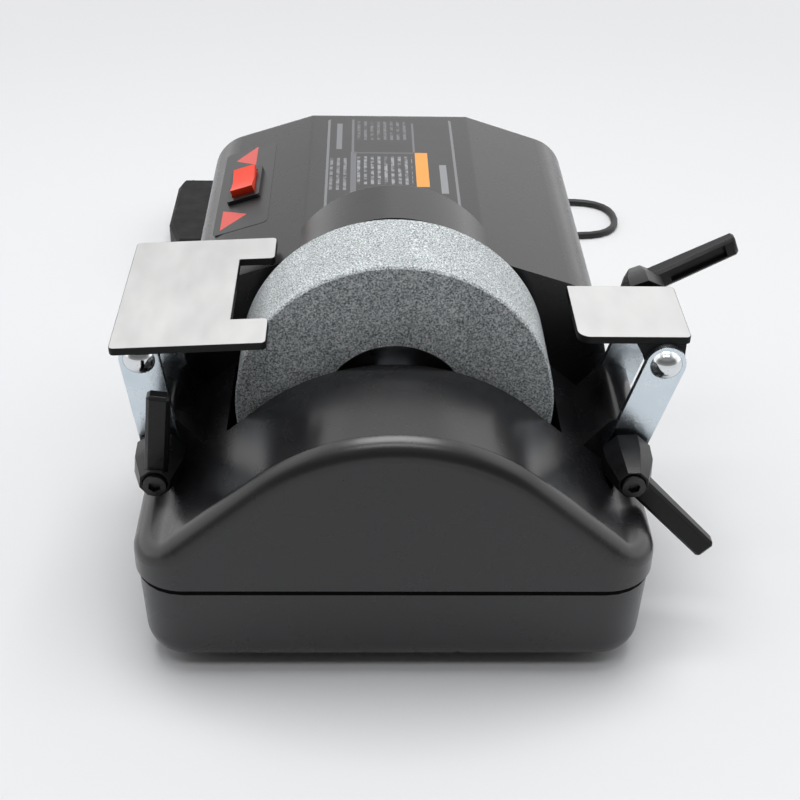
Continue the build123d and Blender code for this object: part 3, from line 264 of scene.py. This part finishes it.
radius = addNode(stoneTree, "ShaderNodeVectorMath", {0: outward.outputs["Vector"]}, operation="LENGTH")
# Partly painted shade: inside the rim's radii the tone drops to faceShade of the rim's
dressedRimAndFaceShade = addNode(stoneTree, "ShaderNodeMapRange", {"Value": radius.outputs["Value"], "From Min": wheelSet["rim"][0] * mm,
                                                    "From Max": wheelSet["rim"][1] * mm, "To Min": wheelSet["faceShade"],
                                                    "To Max": 1})
shade = addNode(stoneTree, "ShaderNodeMath", {0: cloudShade.outputs["Result"], 1: dressedRimAndFaceShade.outputs["Result"]},
                operation="MULTIPLY")
stoneTone = addNode(stoneTree, "ShaderNodeVectorMath", {0: gritTone.outputs["Color"], 1: shade.outputs["Value"]},
                    operation="MULTIPLY")
stoneBump = addNode(stoneTree, "ShaderNodeBump", {"Height": grit.outputs["Fac"], "Strength": 0.5, "Distance": 0.4 * mm})
stoneTree.links.new(stoneTone.outputs["Vector"], stoneShader.inputs["Base Color"])
stoneTree.links.new(stoneBump.outputs["Normal"], stoneShader.inputs["Normal"])
print("materials made")

# Each CAD node gets the finish of its slot in the record
finishes = {
    "housing": mouldedAbs, "rubber": blackRubber, "trough": troughAbs, "switch_black": switchNylon,
    "rocker_red": rockerRed, "abrasive": gritStone, "steel": turnedSteel, "gear_brass": gearBrass,
    "plate_alu": milledAluminium, "motor_paint": motorEnamel, "copper": lacqueredCopper, "ground_steel": groundSteel,
    "black_paint": powderCoat, "zinc": zincPlate, "lever_black": leverCoat, "black_oxide": blackOxide,
}
slotOf = {part["node"]: part["material_slot"] for part in frame["record"]["subparts"]}
for name, node in nodes.items():
    node.data.materials.clear()
    node.data.materials.append(polishedDome if name.endswith("upper_bolt") else finishes[slotOf[name]])
supplyLead.data.materials.append(leadSheath)
print("finishes given to", len(nodes), "nodes")

copySet = {"merge": 0.01, "flatWithin": 0.4, "smoothUpTo": 40}  # mm, degrees, degrees


# A merged copy of a CAD node, whose own mesh is left alone
def copyNode(name, ending, joinFlats=False):
    pick(nodes[name])
    bpy.ops.object.duplicate()
    piece = bpy.context.object
    piece.name = name + ending
    del piece["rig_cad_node"]
    bpy.ops.object.mode_set(mode="EDIT")
    bpy.ops.mesh.select_all(action="SELECT")
    bpy.ops.mesh.remove_doubles(threshold=copySet["merge"] * mm)
    if joinFlats:
        bpy.ops.mesh.dissolve_limited(angle_limit=math.radians(copySet["flatWithin"]))
    bpy.ops.object.mode_set(mode="OBJECT")
    bpy.ops.mesh.customdata_custom_splitnormals_clear()
    return piece


def smoothFaces():
    bpy.ops.object.shade_smooth_by_angle(angle=math.radians(copySet["smoothUpTo"]))


# The copy moves with its node's body, is shown in its place and takes its finish
def standIn(piece, name):
    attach(piece, nodes[name]["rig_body"])
    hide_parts(name)


# Pieces with sharp CAD edges get them eased, in mm, so that the edges catch the light as real ones do
easingSet = {
    "both": {"rest": 0.25, "rest_lug": 0.5, "lower_handle": 0.4, "upper_handle": 0.4, "link_front": 0.3, "link_rear": 0.3},
    "single": {"switch_body": 0.3, "switch_rocker": 0.7, "plug": 0.8},
    "segments": 2, "sharpFrom": 35,
}
sides = ("left", "right")
easedEdges = {f"{side}_{name}": width for side in sides for name, width in easingSet["both"].items()}
easedEdges.update(easingSet["single"])
easedPieces = {}
for name, width in easedEdges.items():
    piece = copyNode(name, "Eased", joinFlats=True)
    easing = piece.modifiers.new("easing", "BEVEL")
    easing.width = width * mm
    easing.segments = easingSet["segments"]
    easing.limit_method = "ANGLE"
    easing.angle_limit = math.radians(easingSet["sharpFrom"])
    bpy.ops.object.modifier_apply(modifier="easing")
    smoothFaces()
    flatFaces = piece.modifiers.new("flatFaces", "WEIGHTED_NORMAL")
    flatFaces.keep_sharp = True
    flatFaces.weight = 100
    bpy.ops.object.modifier_apply(modifier="flatFaces")
    standIn(piece, name)
    easedPieces[name] = piece

# The rests are ground on top only: every other face keeps its black coat
groundFrom = 0.95  # upward share of a face's normal
for side in sides:
    piece = easedPieces[side + "_rest"]
    piece.data.materials.append(powderCoat)
    for face in piece.data.polygons:
        face.material_index = 0 if face.normal.z > groundFrom else 1
print("edges eased on", len(easedPieces), "pieces")

# The springs in the levers are smoothed copies that move with their nodes' bodies, each with a mesh of its own
springSet = {"lift": 3, "headY": {"lower": -96.05, "upper": -4.95}}
for side in sides:
    for row, headY in springSet["headY"].items():
        name = f"{side}_{row}_spring"
        spring = copyNode(name, "Coil")
        smoothFaces()
        standIn(spring, name)
        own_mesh(spring)
print("springs set in the levers")


# A thin film with rounded corners, flat at the origin
def cutFilm(name, width, length, thick, corner):
    deselectAll()
    bpy.ops.mesh.primitive_cube_add(size=1)
    film = bpy.context.object
    film.name = name
    film.scale = (width * mm, length * mm, 2 * thick * mm)
    bpy.ops.object.transform_apply(scale=True)
    bpy.ops.object.mode_set(mode="EDIT")
    bpy.ops.mesh.select_mode(type="EDGE")
    bpy.ops.mesh.select_all(action="DESELECT")
    bpy.ops.object.mode_set(mode="OBJECT")
    for edge in film.data.edges:
        ends = [film.data.vertices[i].co for i in edge.vertices]
        edge.select = abs(ends[0].z - ends[1].z) > thick * mm
    bpy.ops.object.mode_set(mode="EDIT")
    bpy.ops.mesh.bevel(offset=corner * mm, segments=6, affect="EDGES")  # rounds the four upright edges
    bpy.ops.object.mode_set(mode="OBJECT")
    return film


def cutAway(piece, cutter):
    pick(piece)
    cut = piece.modifiers.new("cut", "BOOLEAN")
    cut.object = cutter
    cut.operation = "DIFFERENCE"
    cut.solver = "EXACT"
    bpy.ops.object.modifier_apply(modifier="cut")
    bpy.data.objects.remove(cutter)


# Puts a new piece in its place and keeps the place in its mesh
def settle(piece, place, turn=(0, 0, 0)):
    pick(piece)
    piece.rotation_euler = turn
    piece.location = [c * mm for c in place]
    bpy.ops.object.transform_apply(location=True, rotation=True, scale=True)


def putOnHousing(piece, finish):
    piece.data.materials.append(finish)
    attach(piece, "base")


# Crown on the arch: its top rises a little towards the wheel and rounds off again at the slot
crownSet = {"half": 58, "level": 4, "front": -120.8, "back": -74.6, "arcMiddle": 32.7, "arcRadius": 80, "thick": 1.5,
            "slope": 0.13, "slopeStart": -120.1, "roundStart": -92, "rounding": 0.01954, "sink": 0.03, "rows": (58, 30)}
deselectAll()
bpy.ops.mesh.primitive_grid_add(x_subdivisions=crownSet["rows"][0], y_subdivisions=crownSet["rows"][1], size=1)
archCrown = bpy.context.object
archCrown.name = "archCrown"
archCrown.scale = (2 * crownSet["half"], crownSet["back"] - crownSet["front"], 1)
bpy.ops.object.transform_apply(scale=True)
for corner in archCrown.data.vertices:
    x, y = corner.co.x, corner.co.y + (crownSet["front"] + crownSet["back"]) / 2
    rounded = max(y - crownSet["roundStart"], 0)
    rise = crownSet["slope"] * (y - crownSet["slopeStart"]) - crownSet["rounding"] * rounded ** 2
    fade = min(max((crownSet["half"] - abs(x)) / (crownSet["half"] - crownSet["level"]), 0), 1)
    rise = rise * smoothStep(fade) - crownSet["sink"] * (1 - fade)  # its edges end just inside the housing
    arc = crownSet["arcMiddle"] + math.sqrt(crownSet["arcRadius"] ** 2 - x * x)
    corner.co = (x * mm, y * mm, (arc + rise) * mm)
body = archCrown.modifiers.new("body", "SOLIDIFY")
body.thickness = crownSet["thick"] * mm
body.offset = -1
bpy.ops.object.modifier_apply(modifier="body")
smoothFaces()
putOnHousing(archCrown, mouldedAbs)

# Painted shade: a near-black rubber strip in the seam groove between the two housings, standing in for the shadowed
# gap, seen as a black line all round
seamShadeSet = {"width": 198.3, "length": 253.3, "bottom": 42.3, "top": 44.9, "corner": 19.2, "depth": 1.4}
# Painted shade: this strip fills the groove so that the shadowed seam reads as a wide black line
seal = cutFilm("seal", seamShadeSet["width"], seamShadeSet["length"], (seamShadeSet["top"] - seamShadeSet["bottom"]) / 2, seamShadeSet["corner"])
sealCutter = cutFilm("sealCutter", seamShadeSet["width"] - 2 * seamShadeSet["depth"], seamShadeSet["length"] - 2 * seamShadeSet["depth"], 5,
                     seamShadeSet["corner"] - seamShadeSet["depth"])
cutAway(seal, sealCutter)
settle(seal, (0, 0, (seamShadeSet["top"] + seamShadeSet["bottom"]) / 2))
smoothFaces()
putOnHousing(seal, sealRubber)
print("crown and seal made")


# Printed polyester film: satin dark grey, with plain printed shapes, each given by its middle and half size in mm
# Shapes with a pitch are ruled into bars, which stand in for columns of small print
def printedFilm(name, tone, prints, arrows):
    material, tree, shader, place = startMaterial(name, IOR=1.57)
    sheen = addNode(tree, "ShaderNodeTexNoise", {"Vector": place, "Scale": 1 / (15 * mm), "Detail": 3})
    speckle = addNode(tree, "ShaderNodeTexNoise", {"Vector": place, "Scale": 1 / (3 * mm)})
    gloss = addNode(tree, "ShaderNodeMapRange", {"Value": sheen.outputs["Fac"], "To Min": 0.26, "To Max": 0.4})
    tree.links.new(gloss.outputs["Result"], shader.inputs["Roughness"])
    spot = addNode(tree, "ShaderNodeSeparateXYZ", {"Vector": place})
    colour = addNode(tree, "ShaderNodeMix", {0: sheen.outputs["Fac"], 6: linear(tone[0]), 7: linear(tone[1])},
                     data_type="RGBA").outputs[2]
    for x, y, halfX, halfY, ink, pitch in prints:
        besideX = addNode(tree, "ShaderNodeMath", {0: spot.outputs["X"], 1: x * mm, 2: halfX * mm}, operation="COMPARE")
        besideY = addNode(tree, "ShaderNodeMath", {0: spot.outputs["Y"], 1: y * mm, 2: halfY * mm}, operation="COMPARE")
        inside = addNode(tree, "ShaderNodeMath", {0: besideX.outputs[0], 1: besideY.outputs[0]}, operation="MULTIPLY")
        if pitch:
            across = addNode(tree, "ShaderNodeMath", {0: spot.outputs["X"], 1: pitch * mm}, operation="FLOORED_MODULO")
            ruled = addNode(tree, "ShaderNodeMath", {0: across.outputs[0], 1: 0.45 * pitch * mm}, operation="LESS_THAN")
            inside = addNode(tree, "ShaderNodeMath", {0: inside.outputs[0], 1: ruled.outputs[0]}, operation="MULTIPLY")
            faint = addNode(tree, "ShaderNodeMapRange", {"Value": speckle.outputs["Fac"], "From Min": 0.35,
                                                         "From Max": 0.6})
            inside = addNode(tree, "ShaderNodeMath", {0: inside.outputs[0], 1: faint.outputs[0]}, operation="MULTIPLY")
        colour = addNode(tree, "ShaderNodeMix", {0: inside.outputs[0], 6: colour, 7: linear(ink)},
                         data_type="RGBA").outputs[2]
    for apexX, apexY, length, halfBase, ink in arrows:
        along = addNode(tree, "ShaderNodeMapRange", {"Value": spot.outputs["X"], "From Min": apexX * mm,
                                                     "From Max": (apexX + length) * mm, "To Min": 0,
                                                     "To Max": halfBase * mm}, clamp=False)
        started = addNode(tree, "ShaderNodeMath", {0: along.outputs[0], 1: halfBase * mm}, operation="LESS_THAN")
        aside = addNode(tree, "ShaderNodeMath", {0: spot.outputs["Y"], 1: apexY * mm}, operation="SUBTRACT")
        aside = addNode(tree, "ShaderNodeMath", {0: aside.outputs[0]}, operation="ABSOLUTE")
        narrow = addNode(tree, "ShaderNodeMath", {0: aside.outputs[0], 1: along.outputs[0]}, operation="LESS_THAN")
        inside = addNode(tree, "ShaderNodeMath", {0: started.outputs[0], 1: narrow.outputs[0]}, operation="MULTIPLY")
        colour = addNode(tree, "ShaderNodeMix", {0: inside.outputs[0], 6: colour, 7: linear(ink)},
                         data_type="RGBA").outputs[2]
    tree.links.new(colour, shader.inputs["Base Color"])
    return material


# Rating film on the roof, from the hood to the rear edge
labelSet = {
    "width": 59.6, "front": 7, "back": 119.3, "roof": 131, "thick": 0.12, "corner": 2, "tone": ("#161618", "#1b1b1d"),
    "prints": [  # middle, half size, ink and pitch of the bars
        (-29.1, 70, 0.6, 49, "#6e6f73", 0), (29.1, 70, 0.6, 49, "#6e6f73", 0), (-17.6, 100, 0.6, 20, "#5c5d61", 0),
        (-17.2, 55, 1.3, 26, "#5c5d61", 0), (-3.5, 80, 14, 0.7, "#4c4d50", 0), (10.8, 98, 0.5, 17, "#5c5d61", 0),
        (-3, 61, 12.6, 15, "#8b8c92", 3.1), (-4, 106, 12.6, 11, "#5f6064", 3.1), (-24, 99, 1.3, 15, "#6e6f73", 0),
        (-23.5, 57, 4.6, 17, "#7a7b80", 3.1), (23.5, 52, 1.6, 15, "#808186", 0), (14, 62, 2.9, 18.3, "#e0962a", 0),
    ],
}
ratingFilm = cutFilm("ratingFilm", labelSet["width"], labelSet["back"] - labelSet["front"], labelSet["thick"],
                     labelSet["corner"])
settle(ratingFilm, (0, (labelSet["front"] + labelSet["back"]) / 2, labelSet["roof"]))
putOnHousing(ratingFilm, printedFilm("ratingPolyester", labelSet["tone"], labelSet["prints"], []))

# Direction film round the switch, on the left slope of the roof
switchSet = {
    "centre": (-66, 62, 121.74), "slope": 18, "size": (25.2, 84.5), "thick": 0.12, "corner": 2.5, "hole": (15, 30.6),
    "tone": ("#1a1a1b", "#202021"),
    "arrows": [(-73, 94.5, 10, 10.5, "#cf4438"), (-63.8, 33, -11.2, 9.5, "#cf4438")],  # apex, length, half base and ink
}
switchFilm = cutFilm("switchFilm", *switchSet["size"], switchSet["thick"], switchSet["corner"])
deselectAll()
bpy.ops.mesh.primitive_cube_add(size=1)
switchCutter = bpy.context.object
switchCutter.scale = (switchSet["hole"][0] * mm, switchSet["hole"][1] * mm, 10 * mm)
cutAway(switchFilm, switchCutter)
settle(switchFilm, switchSet["centre"], (0, -math.radians(switchSet["slope"]), 0))
putOnHousing(switchFilm, printedFilm("directionPolyester", switchSet["tone"], [], switchSet["arrows"]))
print("films laid")

# Light: a large and a small soft box above, a card behind and one on each side
lightSet = {
    "above": {"place": (0, 0.1, 1.5), "aim": (0, 0, 0), "size": (0.9, 0.8), "power": 14.8},
    "aboveFront": {"place": (0, -0.72, 1.4), "aim": (0, 0, 0.1), "size": (0.9, 0.25), "power": 3.8},
    "behind": {"place": (0.8, 1.55, 0.95), "aim": (0, 0, 0.1), "size": (2, 0.9), "power": 1.7},
    "left": {"place": (-1.3, 0.3, 0.85), "aim": (0, 0, 0.1), "size": (2.2, 1.5), "power": 6},
    "right": {"place": (1.3, 0.3, 0.85), "aim": (0, 0, 0.1), "size": (2.2, 1.5), "power": 6},
}
# The tent round them is bright behind and dim on the camera's side, and goes over from one to the other in the turn
tentSet = {"turn": (-0.6, 0.1), "front": 0.35, "back": 1.7, "diffuse": 0.24, "seen": 0.9,
           "heights": [(0, 0.95), (0.22, 0.56), (0.42, 0.49), (0.6, 0.85)]}
for name, lamp in lightSet.items():
    deselectAll()
    bpy.ops.object.light_add(type="AREA", location=lamp["place"])
    light = bpy.context.object
    light.name = name
    light.data.shape = "RECTANGLE"
    light.data.size, light.data.size_y = lamp["size"]
    light.data.energy = lamp["power"]
    light.rotation_euler = (Vector(lamp["aim"]) - Vector(lamp["place"])).to_track_quat("-Z", "Y").to_euler()

studio = bpy.data.worlds.new("studio")
scene.world = studio
studio.use_nodes = True
air = studio.node_tree
air.nodes["Background"].inputs["Color"].default_value = linear("#ffffff")
towards = addNode(air, "ShaderNodeSeparateXYZ", {"Vector": addNode(air, "ShaderNodeTexCoord").outputs["Generated"]})
tent = addNode(air, "ShaderNodeMapRange", {"Value": towards.outputs["Y"], "From Min": tentSet["turn"][0],
                                           "From Max": tentSet["turn"][1], "To Min": tentSet["front"],
                                           "To Max": tentSet["back"]})
ray = addNode(air, "ShaderNodeLightPath")
wall = addNode(air, "ShaderNodeValToRGB", {"Fac": towards.outputs["Z"]})
wall.color_ramp.elements.remove(wall.color_ramp.elements[1])
for position, shade in tentSet["heights"]:
    stop = wall.color_ramp.elements.new(position) if position else wall.color_ramp.elements[0]
    stop.color = (shade, shade, shade, 1)
tall = addNode(air, "ShaderNodeMath", {0: tent.outputs["Result"], 1: wall.outputs["Color"]}, operation="MULTIPLY")
share = addNode(air, "ShaderNodeMapRange", {"Value": ray.outputs["Is Glossy Ray"], "To Min": tentSet["diffuse"], "To Max": 1})
shine = addNode(air, "ShaderNodeMath", {0: tall.outputs["Value"], 1: share.outputs["Result"]}, operation="MULTIPLY")
seen = addNode(air, "ShaderNodeMath", {0: ray.outputs["Is Camera Ray"], 1: ray.outputs["Is Transmission Ray"]},
               operation="MAXIMUM")
level = addNode(air, "ShaderNodeMapRange", {"Value": seen.outputs["Value"], "To Min": shine.outputs["Value"],
                                            "To Max": tentSet["seen"]})
air.links.new(level.outputs["Result"], air.nodes["Background"].inputs["Strength"])

# Pale paper floor, which runs out into the pale background well away from the object
floorSet = {"size": 8, "paper": "#e6e7e9", "away": "#f3f3f3", "fadeFrom": 0.55, "fadeTo": 1.2}
deselectAll()
bpy.ops.mesh.primitive_plane_add(size=floorSet["size"])
floor = bpy.context.object
floor.name = "floor"
palePaper, paperTree, paperShader, paperPlace = startMaterial("palePaper", Roughness=0.8)
paperShader.inputs["Base Color"].default_value = linear(floorSet["paper"])
reach = addNode(paperTree, "ShaderNodeVectorMath", {0: paperPlace}, operation="LENGTH")
fade = addNode(paperTree, "ShaderNodeMapRange", {"Value": reach.outputs["Value"], "From Min": floorSet["fadeFrom"],
                                                 "From Max": floorSet["fadeTo"]}, interpolation_type="SMOOTHSTEP")
floorRay = addNode(paperTree, "ShaderNodeLightPath")
floorSeen = addNode(paperTree, "ShaderNodeMath", {0: floorRay.outputs["Is Camera Ray"], 1: floorRay.outputs["Is Glossy Ray"]},
                    operation="MAXIMUM")
floorSeen = addNode(paperTree, "ShaderNodeMath", {0: floorSeen.outputs["Value"], 1: floorRay.outputs["Is Transmission Ray"]},
                    operation="MAXIMUM")
away = addNode(paperTree, "ShaderNodeMath", {0: fade.outputs["Result"], 1: floorSeen.outputs["Value"]}, operation="MULTIPLY")
backdrop = addNode(paperTree, "ShaderNodeEmission", {"Color": linear(floorSet["away"]), "Strength": 1})
ground = addNode(paperTree, "ShaderNodeMixShader", {0: away.outputs["Value"], 1: paperShader.outputs["BSDF"],
                                                    2: backdrop.outputs["Emission"]})
paperTree.links.new(ground.outputs["Shader"], paperTree.nodes["Material Output"].inputs["Surface"])
floor.data.materials.append(palePaper)
print("studio lit")

scene.view_settings.view_transform = "Standard"
